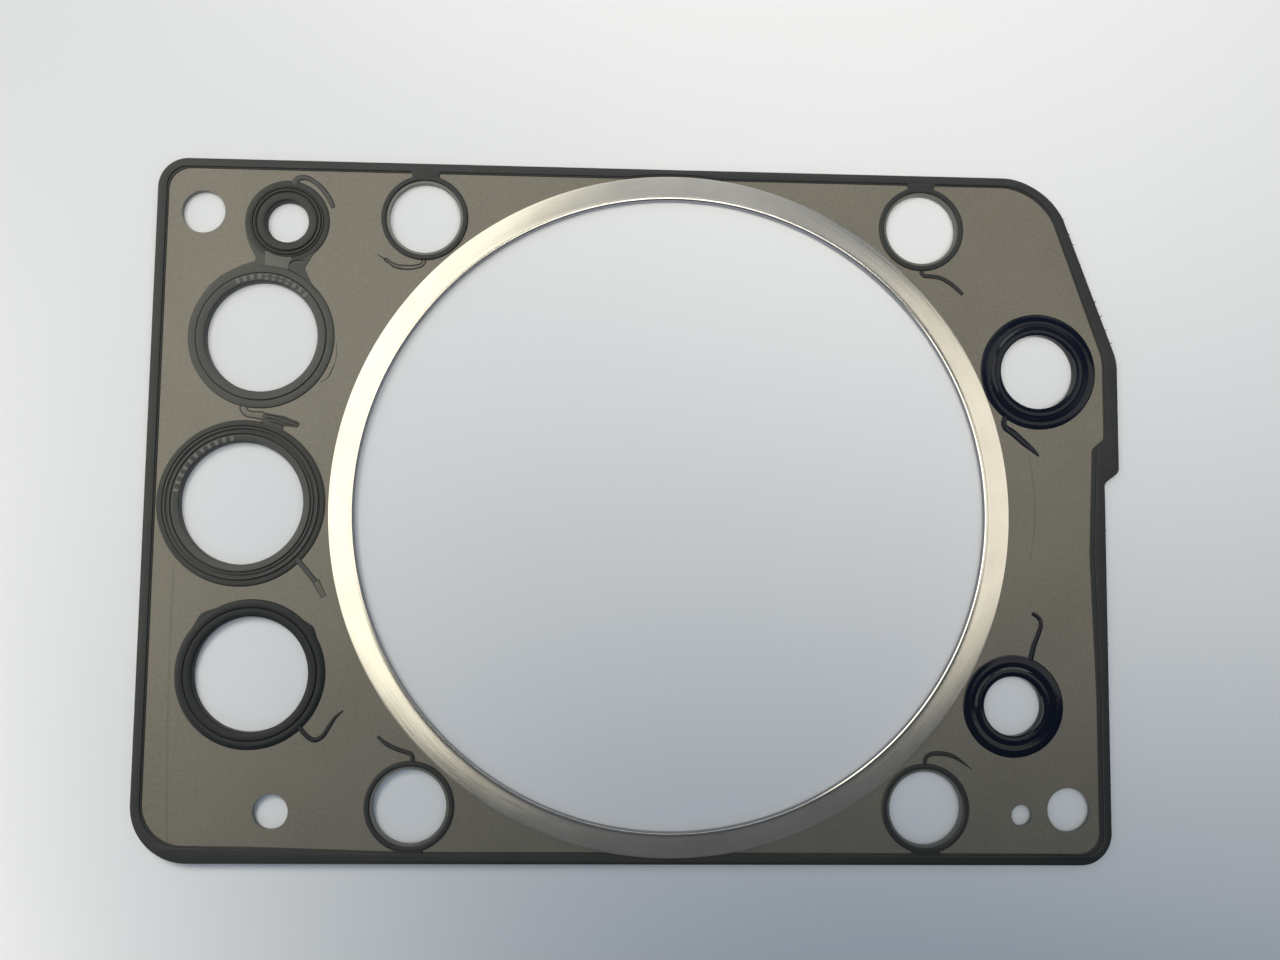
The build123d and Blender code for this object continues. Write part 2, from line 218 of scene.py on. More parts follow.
def roughened(tree, shader, height, distance, strength=1.0):
    """Height put onto the surface as bump, in metres."""
    bump = wired(tree, "Bump", {"Height": height, "Distance": distance, "Strength": strength})
    tree.links.new(bump.outputs[0], shader.inputs["Normal"])


stainless, tree, shader = new_finish("rolled stainless", (0.62, 0.60, 0.55), 0.3, metallic=1.0)
x_here, y_here, _ = wired(tree, "SeparateXYZ", {0: place_on(tree)}).outputs
radius = length_of(tree, x_here, y_here)
angle = reckoned(tree, "ARCTAN2", y_here, x_here)
rolled = round_grain(tree, radius, angle, 2600.0, 5.0, 3.0)
burr = round_grain(tree, radius, angle, 900.0, 150.0, 2.0)
by_groove = band_of(tree, radius, (bore_edge + 0.6) / 1000, (bore_edge + 0.7) / 1000, 0.0002)
relief = reckoned(tree, "MULTIPLY_ADD", rolled, 0.25,
                  reckoned(tree, "MULTIPLY", burr, by_groove))
roughened(tree, shader, relief, 0.00004)
on_lip = band_of(tree, radius, (bore_edge - 0.5) / 1000, (bore_edge + 0.4) / 1000, 0.0001)
satin = reckoned(tree, "MULTIPLY_ADD", on_lip, -0.03, spread(tree, rolled, 0.15, 0.27))
tree.links.new(satin, shader.inputs["Roughness"])
# darker in random patches of tarnish, and along the rolled groove, where the darkening is painted
# shade
tarnish_and_groove_shade = reckoned(tree, "MAXIMUM", grain(tree, 60.0), by_groove)
bright = mixed(tree, tarnish_and_groove_shade, (0.72, 0.70, 0.65), (0.48, 0.45, 0.40))
# the ring's inner wall at the bore is painted dark blue-grey: painted shade
on_bore_wall = reckoned(tree, "LESS_THAN", radius, (bore_edge + 0.012) / 1000)
bore_wall_painted_shade = mixed(tree, on_bore_wall, bright, (0.20, 0.21, 0.26))
tree.links.new(bore_wall_painted_shade, shader.inputs["Base Color"])

sheet = 0.25
under = -face - sheet
# the head side, as (distance from the bore, height)
lip = [(0.0, 0.87), (0.02, 0.92), (0.08, 0.98), (0.17, 1.07), (0.21, 1.092), (0.25, 1.095),
       (0.31, 1.084), (0.38, 1.065), (0.45, 1.046), (0.52, 1.028), (0.58, 1.014)]
groove = [(0.61, 1.0), (0.64, 0.988), (0.68, 0.984), (0.73, 0.988), (0.84, 0.992)]
flat = [(1.3, 0.99), (2.0, 1.0), (2.9, 1.0), (3.8, 0.99), (4.5, 0.97), (5.0, 0.955)]
ring_section = [(bore_edge + out, height) for out, height in lip + groove + flat]
ring_section += [(ring_edge - 0.16, 0.93), (ring_edge - 0.05, 0.87), (ring_edge, 0.8),
                 (ring_edge, face), (bore_edge + sheet, face), (bore_edge + sheet, -face),
                 (ring_edge, -face), (ring_edge, under + 0.08), (ring_edge - 0.08, under),
                 (bore_edge + 0.4, under), (bore_edge + 0.12, under + 0.08),
                 (bore_edge, under + 0.32)]
settled([turned(ring_section, 360, softness=0.012)], "folded_fire_ring", "fire_ring",
        stainless)

# ---- edge seal ----
# One black rubber moulding on the plate's edge. Its band wraps the edge all round, flat on top
# with a sloping inner side, and a bead with a web stands round each of the four bolt holes.
# Moulding left thin tails of rubber on the beads and whiskers of flash on the band.
axis_of = {mount["name"]: (mount["pos_m"][0] * 1000, mount["pos_m"][1] * 1000) for mount in bores}
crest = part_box("edge_seal")[1].z * 1000         # the top of the rubber, above the plate's middle


def outline_of(corners):
    """Edges of a closed outline through (x, y, radius) corners."""
    outline = traced([(x, y, 0.0) for x, y, _ in corners], [r for _, _, r in corners])
    bpy.ops.object.mode_set(mode="EDIT")
    bpy.ops.mesh.select_all(action="SELECT")
    bpy.ops.mesh.delete(type="ONLY_FACE")
    bpy.ops.object.mode_set(mode="OBJECT")
    return outline


def slab(outlines, low, high, softness):
    """Moulded slab between two heights, with softened edges; a second outline is its opening."""
    drawn = [outline_of(corners) for corners in outlines]
    bpy.ops.object.select_all(action="DESELECT")
    for outline in drawn:
        outline.select_set(True)
    bpy.context.view_layer.objects.active = drawn[0]
    if len(drawn) > 1:
        bpy.ops.object.join()
    bpy.ops.object.convert(target="CURVE")
    shape = bpy.context.object
    shape.data.dimensions = "2D"
    shape.data.fill_mode = "BOTH"
    shape.data.extrude = (high - low) / 2 - softness
    shape.data.bevel_depth = softness
    shape.data.bevel_resolution = 2
    shape.data.offset = -softness
    bpy.ops.object.convert(target="MESH")
    made = bpy.context.object
    bpy.ops.object.mode_set(mode="EDIT")
    bpy.ops.mesh.select_all(action="SELECT")
    bpy.ops.transform.translate(value=(0, 0, (low + high) / 2))
    bpy.ops.mesh.remove_doubles(threshold=0.0005)
    bpy.ops.mesh.normals_make_consistent(inside=False)
    bpy.ops.object.mode_set(mode="OBJECT")
    return made


def hair(stations, height=0.3, closed=False):
    """Bead of rubber along (x, y, width) stations, cut flat where it lies on the plate.

    A closed bead runs back to its start and keeps its round underside, sunk in the plate.
    """
    bpy.ops.object.select_all(action="DESELECT")
    bpy.ops.curve.primitive_bezier_curve_add()
    line = bpy.context.object
    run = line.data.splines[0]
    run.bezier_points.add(len(stations) - 2)
    for knot, (x, y, width) in zip(run.bezier_points, stations):
        knot.co = (x, y, face)
        knot.radius = width / 2
        knot.handle_left_type = knot.handle_right_type = "AUTO"
    run.use_cyclic_u = closed
    line.data.bevel_depth = 1.0
    line.data.bevel_resolution = 2
    line.data.resolution_u = 5
    line.data.use_fill_caps = True
    bpy.ops.object.convert(target="MESH")
    bead = bpy.context.object
    flatness = 2 * height / max(width for _, _, width in stations)
    bpy.ops.object.mode_set(mode="EDIT")
    bpy.ops.mesh.select_all(action="SELECT")
    bpy.ops.mesh.remove_doubles(threshold=0.0005)
    bpy.ops.transform.resize(value=(1, 1, flatness), center_override=(0, 0, face))
    bpy.ops.mesh.select_all(action="SELECT")
    if not closed:
        bpy.ops.mesh.bisect(plane_co=(0, 0, face - 0.01), plane_no=(0, 0, 1), use_fill=True,
                            clear_inner=True)
    bpy.ops.mesh.select_all(action="SELECT")
    bpy.ops.mesh.normals_make_consistent(inside=False)
    bpy.ops.object.mode_set(mode="OBJECT")
    return bead


def arc_points(radius, start, end, count, centre=(0.0, 0.0)):
    """Corners on a circle, about the fire ring's axis unless a centre is given."""
    angles = [math.radians(start + (end - start) * i / (count - 1)) for i in range(count)]
    return [(centre[0] + radius * math.cos(a), centre[1] + radius * math.sin(a), 0)
            for a in angles]


lowest, highest = (corner * 1000 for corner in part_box("edge_seal"))
left, bottom = lowest.x, lowest.y
right, top = highest.x, highest.y
right_lower = right - 3.1           # the right side below its step
slant_x, slant_y = 79.99, 32.9      # where the slanting side meets the top and the right side
outer_line = [(left, bottom, 11.5), (right_lower, bottom, 6.5), (right_lower, 6.8, 1.4),
              (right, 9.2, 1.4), (right, slant_y, 10.0), (slant_x, top, 14.2), (left, top, 6.2)]
# how wide the band is on the plate, on each side
top_width, left_width, right_width, upper_right_width = 2.05, 2.2, 2.5, 3.05
bottom_width, bottom_left_width = 2.35, 3.5
ring_clearance = 70.65              # from the fire ring's axis to the band


def inner_line(lip, right_lip):
    """The band's inner outline, drawn back from the plate by its sloping side."""
    clearance = ring_clearance + lip
    low_y, high_y = bottom + bottom_width - lip, top - top_width + lip
    low_reach = math.degrees(math.acos(-low_y / clearance))
    high_reach = math.degrees(math.acos(high_y / clearance))
    left_x, right_x = left + left_width - lip, right_lower - right_width + right_lip
    upper_right_x = right - upper_right_width + lip
    return [(left_x, bottom + bottom_left_width - lip, 8.4),
            (-85.1, bottom + bottom_left_width - 0.2 - lip, 4.0), (-52.5, low_y, 0),
            *arc_points(clearance, -90 - low_reach, -90 + low_reach, 9),
            (right_x, low_y - 0.1, 4.3 - lip), (right_x, -38.0, 14.0),
            (right_x - 0.9, -8.1, 14.0), (right_x, 14.0, 1.2), (upper_right_x, 16.2, 0.8),
            (upper_right_x, 33.2, 10.0), (slant_x - 1.5 + lip, high_y, 12.2),
            *arc_points(clearance, 90 - high_reach, 90 + high_reach, 9),
            (left_x, high_y, 4.5 - lip)]


band = [slab([outer_line, inner_line(0.0, 0.0)], -crest, face + 0.2, 0.12),
        slab([outer_line, inner_line(0.32, 0.95)], face - 0.2, crest, 0.16)]
shoulder = crest - 0.16
bead_section = [(7.9, 0.0), (7.98, shoulder), (8.14, crest), (8.86, crest), (9.02, shoulder),
                (9.1, 0.0), (8.95, -crest), (8.05, -crest)]
bolt_names = ["upper_left_bolt_hole", "upper_right_bolt_hole", "lower_left_bolt_hole",
              "lower_right_bolt_hole"]
beads = [turned(bead_section, 96, axis_of[name]) for name in bolt_names]
for name in bolt_names:
    x, y = axis_of[name]
    side = math.copysign(1, y)
    band_y = side * (69.5 if y > 0 else 69.05)
    # half the web's width inside the band, at the band's inner side, and in the bead
    half_widths = [(3.1, side * 70.6), (2.85, band_y), (2.7, side * (abs(y) + 7.95))]
    bolt_web = [(x - half, reach, 0) for half, reach in half_widths]
    bolt_web += [(x + half, reach, 0) for half, reach in half_widths[::-1]]
    beads.append(slab([bolt_web if y < 0 else bolt_web[::-1]], -crest + 0.02, crest - 0.02,
                      0.12))
bolt_tails = [
    hair([(52.5, 52.0, 0.95), (52.8, 50.7, 0.95), (54.5, 50.4, 0.95), (56.5, 50.1, 0.95),
          (58.5, 49.1, 0.95), (60.0, 47.9, 0.95), (61.4, 46.6, 0.8)]),
    hair([(-52.0, -52.0, 0.95), (-52.3, -50.2, 0.95), (-53.2, -49.8, 0.9), (-55.3, -49.1, 0.95),
          (-57.5, -48.0, 0.9), (-59.2, -46.6, 0.6)]),
    hair([(52.5, -52.0, 0.9), (52.6, -50.4, 0.9), (53.6, -49.6, 0.9), (55.5, -49.4, 0.95),
          (58.0, -49.8, 0.9), (60.0, -50.9, 0.6), (62.2, -52.6, 0.15)], 0.28)]


def rubber(name, colour, worn, low_gloss, high_gloss, coarse=700.0, sheen=0.35):
    """Moulded rubber with a dusty bloom and a fine moulded grain."""
    finish, tree, shader = new_finish(name, colour, low_gloss)
    shader.inputs["Specular IOR Level"].default_value = sheen
    bloom = grain(tree, 90.0, detail=4.0)
    tree.links.new(mixed(tree, bloom, colour, worn), shader.inputs["Base Color"])
    tree.links.new(spread(tree, grain(tree, 260.0), low_gloss, high_gloss),
                   shader.inputs["Roughness"])
    roughened(tree, shader, grain(tree, coarse, detail=5.0), 0.00006, 0.6)
    return finish


band_rubber = rubber("band rubber", (0.012, 0.014, 0.015), (0.028, 0.029, 0.028), 0.4, 0.56,
                     sheen=0.3)
skin_rubber = rubber("thin rubber skin", (0.11, 0.10, 0.08), (0.17, 0.155, 0.125), 0.36, 0.5)
fold_rubber = rubber("folded rubber skin", (0.075, 0.072, 0.055), (0.115, 0.108, 0.084),
                     0.4, 0.55)


def skin_tail(stations, edge=0.34):
    """Thin skin of rubber along (x, y, width) stations, with a raised dark edge all round."""
    left_side, right_side = [], []
    for i, (x, y, width) in enumerate(stations):
        before, after = stations[max(i - 1, 0)], stations[min(i + 1, len(stations) - 1)]
        ahead = Vector((after[0] - before[0], after[1] - before[1])).normalized()
        reach = width / 2 - edge / 2
        left_side.append((x - ahead.y * reach, y + ahead.x * reach))
        right_side.append((x + ahead.y * reach, y - ahead.x * reach))
    loop = left_side + right_side[::-1]
    film = slab([[(x, y, 0) for x, y in loop]], face - 0.02, face + 0.05, 0.02)
    film.data.materials.append(skin_rubber)
    return [film, hair([(x, y, edge) for x, y in loop], 0.17, closed=True)]


# the upper left tail is only a skin with raised edges, folded over at its end
bolt_tails += skin_tail([(-52.5, 51.6, 0.9), (-52.7, 50.7, 0.95), (-54.0, 50.1, 1.0),
                         (-56.5, 49.9, 1.1), (-58.4, 50.2, 1.0), (-59.6, 50.9, 0.75),
                         (-60.6, 51.6, 0.5)], 0.3)
fold = hair([(-56.9, 49.95, 0.9), (-58.4, 50.25, 0.85), (-59.5, 50.9, 0.6),
             (-60.2, 51.4, 0.3)], 0.15)
fold.data.materials.append(fold_rubber)
bolt_tails += [fold, hair([(-60.3, 51.4, 0.4), (-61.3, 52.0, 0.25), (-62.2, 52.6, 0.12)], 0.14)]
# whiskers of flash stand out from the slanting side, and from the right side below its step
draw = random.Random(7)
whiskers = []
whisker_x = 80.0        # the slanting side's upper end, as the whiskers follow it
for share in (0.22, 0.3, 0.36, 0.47, 0.55, 0.62, 0.68, 0.71, 0.76, 0.83, 0.9):
    x, y = whisker_x + (right - whisker_x) * share, top + (slant_y - top) * share
    reach, lean = draw.uniform(0.3, 0.75), draw.uniform(-0.4, 0.4)
    whiskers.append(hair([(x - 0.3, y - 0.1, 0.24), (x + 0.1, y, 0.2),
                          (x + 0.94 * reach, y + 0.34 * reach + lean, 0.12)], 0.09))
for y in (-3.0, -11.5, -27.0, -39.0, -55.5):
    reach = draw.uniform(0.2, 0.35)
    whiskers.append(hair([(right_lower - 0.3, y, 0.2), (right_lower + 0.05, y, 0.16),
                          (right_lower + reach, y + draw.uniform(-0.3, 0.3), 0.1)], 0.08))
settled(band + beads + bolt_tails + whiskers, "edge_band_and_bolt_beads", "edge_seal",
        band_rubber)

# ---- twin port seal ----
# One rubber moulding that grips the edges of the small port's and the upper port's holes, with
# a flat web between them. Lips and ridges stand on its two rings, small blocks on the upper
# port's lip, and the web has a smoother panel with dark lines of flash beside it.
port_rubber = rubber("port rubber", (0.018, 0.021, 0.021), (0.036, 0.038, 0.035), 0.38, 0.56,
                     sheen=0.5)
skirt_rubber = rubber("port skirt rubber", (0.026, 0.028, 0.025), (0.047, 0.047, 0.040),
                      0.42, 0.6, sheen=0.45)
dull_rubber = rubber("dull port rubber", (0.011, 0.0125, 0.0125), (0.024, 0.025, 0.0225),
                     0.42, 0.6, sheen=0.38)
# the blocks are painted pale over the rubber's dusty bloom: a painted highlight where the light
# rakes them
block_rubber_painted_highlight = rubber("block rubber with painted highlight", (0.075, 0.08, 0.075), (0.14, 0.14, 0.125), 0.36, 0.5)
panel_rubber = rubber("web panel rubber", (0.075, 0.075, 0.066), (0.115, 0.112, 0.097),
                      0.4, 0.52)
flash_rubber = rubber("dark flash rubber", (0.003, 0.004, 0.004), (0.008, 0.009, 0.008),
                      0.5, 0.65, sheen=0.2)


def seal(name, lands, finish, skirt=None, skirt_from=0.0, steps=180):
    """Ring of rubber that grips a hole's edge, with (radius, height) lands on its head side.

    Its head side has the skirt's finish, where one is given, beyond the radius skirt_from.
    """
    x, y = axis_of[name]
    inner, edge = opening[name], lands[-1][0]
    hole = inner + 1.0
    section = [(radius, face + height) for radius, height in lands]
    section += [(edge, face), (hole, face), (hole, -face), (edge, -face), (edge - 0.05, -crest),
                (inner + 0.05, -crest), (inner, -crest + 0.1)]
    ring = turned(section, steps, (x, y), softness=0.025)
    ring.data.materials.append(finish)
    if skirt:
        ring.data.materials.append(skirt)
        for side in ring.data.polygons:
            outwards = math.hypot(side.center.x - x, side.center.y - y)
            if outwards > skirt_from and side.center.z > face:
                side.material_index = 1
    return ring


def blocks(name, inner, outer, width, low, high, angles):
    """Row of small moulded blocks on a seal's lip, at angles about its hole."""
    axis = (*axis_of[name], 0)
    bpy.ops.object.select_all(action="DESELECT")
    bpy.ops.mesh.primitive_cube_add(size=1, location=axis)
    first = bpy.context.object
    bpy.ops.object.mode_set(mode="EDIT")
    bpy.ops.transform.resize(value=(outer - inner, width, high - low), center_override=axis)
    bpy.ops.transform.translate(value=((inner + outer) / 2, 0, (low + high) / 2))
    bpy.ops.mesh.bevel(offset=0.07, segments=2, affect="EDGES")
    bpy.ops.object.mode_set(mode="OBJECT")
    first.data.materials.append(block_rubber_painted_highlight)
    row = []
    for angle in angles:
        block = first.copy()
        block.data = first.data.copy()
        bpy.context.collection.objects.link(block)
        block.rotation_euler.z = math.radians(angle)
        row.append(block)
    bpy.data.objects.remove(first)
    bpy.ops.object.select_all(action="DESELECT")
    for block in row:
        block.select_set(True)
    bpy.context.view_layer.objects.active = row[0]
    bpy.ops.object.join()
    bpy.ops.object.transform_apply(location=True, rotation=True, scale=True)
    return row[0]


small_lands = [(4.4, 0.1), (4.75, 0.33), (5.1, 0.4), (6.0, 0.43), (6.12, 0.36), (6.22, 0.06),
               (6.36, 0.06), (6.55, 0.38), (6.8, 0.42), (6.92, 0.36), (7.02, 0.1), (7.12, 0.1),
               (7.25, 0.36), (7.42, 0.38), (7.54, 0.16), (7.7, 0.24), (8.5, 0.2), (8.75, 0.06)]
upper_lands = [(11.5, 0.1), (11.8, 0.25), (12.4, 0.33), (13.1, 0.4), (13.22, 0.36), (13.28, 0.08),
               (13.36, 0.08), (13.46, 0.3), (14.5, 0.28), (14.58, 0.24), (14.66, 0.27),
               (14.84, 0.22), (15.0, 0.05)]
port_web = slab([[(-89.5, 57.0, 0), (-89.1, 55.3, 0), (-88.5, 53.8, 0), (-88.0, 52.8, 0),
                  (-87.1, 51.2, 0.3), (-87.4, 50.45, 0.3), (-90.0, 49.6, 0), (-92.3, 48.4, 0),
                  (-94.2, 47.25, 0), (-96.3, 45.3, 0), (-97.7, 43.4, 0),
                  *arc_points(14.0, 143, 45, 8, axis_of["upper_port"]),
                  (-73.9, 43.4, 0.3), (-75.6, 46.2, 0.8), (-77.1, 49.2, 0.8),
                  (-75.3, 52.3, 0.6), (-74.4, 53.4, 0),
                  *arc_points(8.1, 315, 195, 9, axis_of["small_port"])]],
                face - 0.05, face + 0.17, 0.05)
port_web.data.materials.append(skirt_rubber)
panel = slab([[(-85.2, 52.75, 0), (-85.2, 49.6, 0.2), (-82.8, 49.35, 0), (-80.2, 48.7, 0.2),
               (-80.2, 50.1, 0.3), (-79.7, 51.0, 0.2), (-79.8, 51.55, 0), (-80.9, 51.5, 0),
               (-82.9, 51.76, 0)]], face, face + 0.26, 0.03)
panel.data.materials.append(panel_rubber)
dark_flash = [hair([(-80.2, 48.9, 0.2), (-80.25, 49.8, 0.2), (-79.8, 50.4, 0.2),
                    (-79.2, 50.7, 0.18), (-77.9, 50.8, 0.18), (-76.0, 51.05, 0.12)]),
              hair([(-84.4, 49.5, 0.12), (-82.5, 49.35, 0.14), (-80.2, 48.75, 0.16),
                    (-78.0, 47.6, 0.16), (-76.0, 46.0, 0.16), (-74.2, 44.0, 0.16),
                    (-72.8, 42.0, 0.12)])]
for line in dark_flash:
    line.data.materials.append(flash_rubber)
thin_flash = [hair([(-70.1, 33.8, 0.1), (-69.9, 31.6, 0.14), (-70.6, 28.2, 0.12),
                    (-71.8, 26.1, 0.2), (-73.2, 25.4, 0.1)], 0.08),
              hair([(-70.4, 29.0, 0.16), (-71.0, 27.6, 0.2), (-71.4, 26.9, 0.1)], 0.08)]
# angles of the blocks, about 7 degrees apart; four of them are parted by a groove
whole_blocks = (114, 107, 100.2, 93, 58.7, 51.7, 45)
parted_blocks = (86.2, 79.4, 72.6, 65.8)
twin = [seal("small_port", small_lands, dull_rubber, steps=120),
        seal("upper_port", upper_lands, port_rubber, skirt_rubber, 13.36), port_web, panel,
        blocks("upper_port", 11.9, 13.1, 0.85, 0.85, 1.1, whole_blocks),
        blocks("upper_port", 12.68, 13.18, 0.9, 0.9, 1.1, parted_blocks),
        blocks("upper_port", 11.85, 12.4, 0.85, 0.82, 1.09, parted_blocks),
        hair([(-79.9, 67.0, 1.3), (-79.2, 68.1, 1.3), (-77.8, 68.5, 1.15), (-75.6, 67.6, 1.0),
              (-73.4, 65.5, 1.15), (-71.9, 63.0, 1.1), (-71.6, 62.2, 0.95)])]
upper_port_tail = skin_tail([(-88.5, 20.3, 1.5), (-88.4, 19.4, 1.6), (-87.7, 18.7, 1.6),
                             (-86.4, 18.4, 1.55), (-84.3, 18.3, 1.3)])
settled(twin + dark_flash + thin_flash + upper_port_tail, "twin_port_moulding",
        "twin_port_seal", port_rubber)

# ---- middle port seal ----
# One rubber moulding that grips the edge of the largest port's hole: a broad lip with a row of
# blocks, two thin ridges and a skirt. A rough tab was squeezed out of the mould at its upper
# right, and its tail at the lower right ends in a folded skin.
rough_skin = rubber("rough rubber skin", (0.014, 0.015, 0.014), (0.07, 0.063, 0.05), 0.45, 0.7,
                    coarse=1500.0)
middle_lands = [(12.55, 0.1), (12.7, 0.22), (13.3, 0.31), (13.85, 0.4), (13.98, 0.36),
                (14.08, 0.05), (14.2, 0.05), (14.36, 0.38), (14.48, 0.42), (14.62, 0.38),
                (14.82, 0.08), (15.05, 0.1), (15.28, 0.38), (15.44, 0.44), (15.58, 0.38),
                (15.76, 0.08), (15.86, 0.08), (16.0, 0.25), (16.8, 0.2), (17.05, 0.05)]
tab = slab([[(-84.9, 17.0, 0), (-84.3, 18.9, 0.4), (-82.0, 18.5, 0), (-80.0, 18.2, 0),
             (-78.5, 17.5, 0.3), (-77.4, 17.2, 0.1), (-76.9, 16.7, 0.2), (-77.4, 15.9, 0.2),
             (-78.6, 16.0, 0), (-80.3, 16.2, 0.2), (-80.2, 14.8, 0)]],
           face - 0.05, face + 0.2, 0.06)
tab.data.materials.append(rough_skin)
ripples = [hair(run, 0.35) for run in (
    [(-84.0, 18.6, 0.3), (-81.5, 18.1, 0.35), (-79.4, 17.5, 0.3), (-77.2, 16.7, 0.3)],
    [(-83.8, 17.8, 0.3), (-81.6, 17.4, 0.25), (-79.3, 16.6, 0.3), (-77.8, 16.2, 0.2)],
    [(-83.4, 17.1, 0.2), (-81.4, 16.7, 0.3), (-79.8, 16.1, 0.2)])]
block_angles = [99.3 + 7.05 * i for i in range(11)]
middle = [seal("middle_port", middle_lands, port_rubber, dull_rubber, 15.8), tab, *ripples,
          blocks("middle_port", 12.75, 13.82, 0.72, 0.85, 1.1, block_angles),
          hair([(-76.6, -11.0, 1.1), (-75.0, -12.9, 1.1), (-72.7, -15.6, 1.15)])]
blade = [(-73.15, -15.9), (-71.3, -19.0), (-70.4, -18.5), (-72.1, -15.1)]
skin = slab([[(x, y, 0.1) for x, y in blade]], face - 0.02, face + 0.06, 0.02)
skin.data.materials.append(fold_rubber)
middle.append(skin)
for (x, y), (to_x, to_y) in ((blade[0], blade[1]), (blade[3], blade[2])):
    halfway = ((x + to_x) / 2, (y + to_y) / 2, 0.24)
    middle.append(hair([(x, y, 0.3), halfway, (to_x, to_y, 0.2)], 0.14))
settled(middle, "middle_port_moulding", "middle_port_seal", port_rubber)

# ---- lower port seal ----
# One moulding of darker rubber that grips the edge of the lower port's hole, nearly plain: a
# broad lip, a shallow groove and a low skirt. It has a tail at its lower right, and flash
# bulges out at its upper left and upper right.
lower_lands = [(11.6, 0.1), (11.8, 0.3), (12.4, 0.38), (13.15, 0.42), (13.24, 0.34), (13.3, 0.12),
               (13.38, 0.12), (13.5, 0.32), (14.2, 0.33), (14.5, 0.28), (14.95, 0.18),
               (15.1, 0.04)]
dark_rubber = rubber("dark port rubber", (0.007, 0.009, 0.011), (0.014, 0.017, 0.018), 0.34, 0.5,
                     sheen=0.25)
lower = [seal("lower_port", lower_lands, dark_rubber),
         hair([(-75.3, -44.4, 1.0), (-73.2, -46.7, 1.0), (-71.8, -47.4, 1.0), (-70.4, -46.8, 1.0),
               (-69.0, -44.8, 0.9), (-67.7, -42.8, 0.7), (-66.2, -41.5, 0.3)]),
         hair([(-74.6, -25.8, 0.12), (-72.4, -29.0, 0.14), (-71.4, -32.5, 0.1)]),
         hair([(-96.9, -25.2, 0.3), (-94.8, -22.9, 1.6), (-92.1, -21.2, 0.3)], 0.2),
         hair([(-75.6, -23.1, 0.3), (-73.4, -25.2, 1.6), (-71.8, -27.9, 0.3)], 0.2)]
settled(lower, "lower_port_moulding", "lower_port_seal", dark_rubber)

# ---- passage seals ----
# Two smaller mouldings of smoother, glossier rubber that grip the edges of the coolant
# passages' holes, each with a raised lip, a rounded skirt and a tail.
passage_rubber = rubber("passage rubber", (0.003, 0.005, 0.011), (0.005, 0.008, 0.017),
                        0.07, 0.13, sheen=0.22)


def passage_seal(name, edge, tail):
    """A passage's seal, out to its edge, with the tail that hangs from it."""
    inner = opening[name]
    lands = [(inner, 0.1), (inner + 0.3, 0.36), (inner + 0.9, 0.45), (inner + 1.5, 0.42),
             (inner + 1.95, 0.14), (inner + 2.3, 0.24), (inner + 2.9, 0.36), (edge - 0.9, 0.3),
             (edge - 0.25, 0.18), (edge, 0.05)]
    settled([seal(name, lands, passage_rubber), hair(tail)], name + "_moulding", name + "_seal",
            passage_rubber)


passage_seal("upper_passage", 12.3,
             [(70.1, 20.6, 1.2), (69.9, 18.8, 1.3), (71.8, 17.2, 1.5), (74.2, 15.1, 1.4),
              (76.0, 13.6, 1.0), (77.2, 12.4, 0.5)])
passage_seal("lower_passage", 10.5,
             [(74.7, -30.3, 1.3), (75.6, -27.0, 1.2), (76.6, -24.5, 1.1), (77.1, -22.8, 1.0),
              (76.7, -21.5, 0.9), (75.3, -20.5, 0.8)])

# ---- carrier plate ----
# Punched from steel sheet with a tan-grey coating, satin and finely mottled. Its punched edges
# and the narrow lands round the bolt holes are bare steel, and drops of liquid have dried on
# it and left two faint tide marks.
coating, tree, shader = new_finish("satin coated steel", (0.19, 0.175, 0.145), 0.38)
shader.inputs["Specular IOR Level"].default_value = 0.4
mottle = grain(tree, 45.0, detail=4.0)
speck = grain(tree, 1500.0, detail=2.0)
cloud = reckoned(tree, "MULTIPLY_ADD", speck, 0.7,
                 reckoned(tree, "MULTIPLY_ADD", mottle, 0.5, -0.1))
coat = mixed(tree, cloud, (0.107, 0.095, 0.072), (0.218, 0.195, 0.149))
x_here, y_here, z_here = wired(tree, "SeparateXYZ", {0: place_on(tree)}).outputs
# the four bolt holes lie alike about the bore, so the distance from one serves for all
bolt_x, bolt_y = (coordinate / 1000 for coordinate in axis_of["upper_right_bolt_hole"])
across = reckoned(tree, "SUBTRACT", reckoned(tree, "ABSOLUTE", x_here), bolt_x)
along = reckoned(tree, "SUBTRACT", reckoned(tree, "ABSOLUTE", y_here), bolt_y)
land_radius = 0.0081
on_land = reckoned(tree, "LESS_THAN", length_of(tree, across, along), land_radius)
on_cut = reckoned(tree, "LESS_THAN", reckoned(tree, "ABSOLUTE", z_here), (face - 0.03) / 1000)
bare = reckoned(tree, "MAXIMUM", on_land, on_cut)
tree.links.new(spread(tree, bare, 0.0, 0.2), shader.inputs["Metallic"])
steel = mixed(tree, bare, coat, (0.13, 0.13, 0.117))
# each tide mark is a thin arc: its centre's x and y, its radius, and the y it runs between
marks = []
for centre_x, centre_y, reach, low_y, high_y in ((0.0278, 0.0015, 0.0485, -0.009, 0.012),
                                                 (0.7767, -0.0239, 0.8780, -0.066, -0.014)):
    away = length_of(tree, reckoned(tree, "SUBTRACT", x_here, centre_x),
                     reckoned(tree, "SUBTRACT", y_here, centre_y))
    on_line = band_of(tree, away, reach - 0.0001, reach, 0.00025)
    on_run = band_of(tree, y_here, low_y, high_y, 0.003)
    marks.append(reckoned(tree, "MULTIPLY", on_line, on_run))
faint = reckoned(tree, "MULTIPLY", reckoned(tree, "MAXIMUM", *marks),
                 spread(tree, grain(tree, 300.0), 0.0, 0.5))
stained = mixed(tree, faint, steel, (0.04, 0.037, 0.03))
tree.links.new(stained, shader.inputs["Base Color"])
tree.links.new(spread(tree, grain(tree, 500.0), 0.3, 0.42), shader.inputs["Roughness"])
roughened(tree, shader, grain(tree, 2600.0, detail=4.0), 0.00002, 0.5)
for slot in frame["nodes"]["carrier_plate"].material_slots:
    slot.material = coating

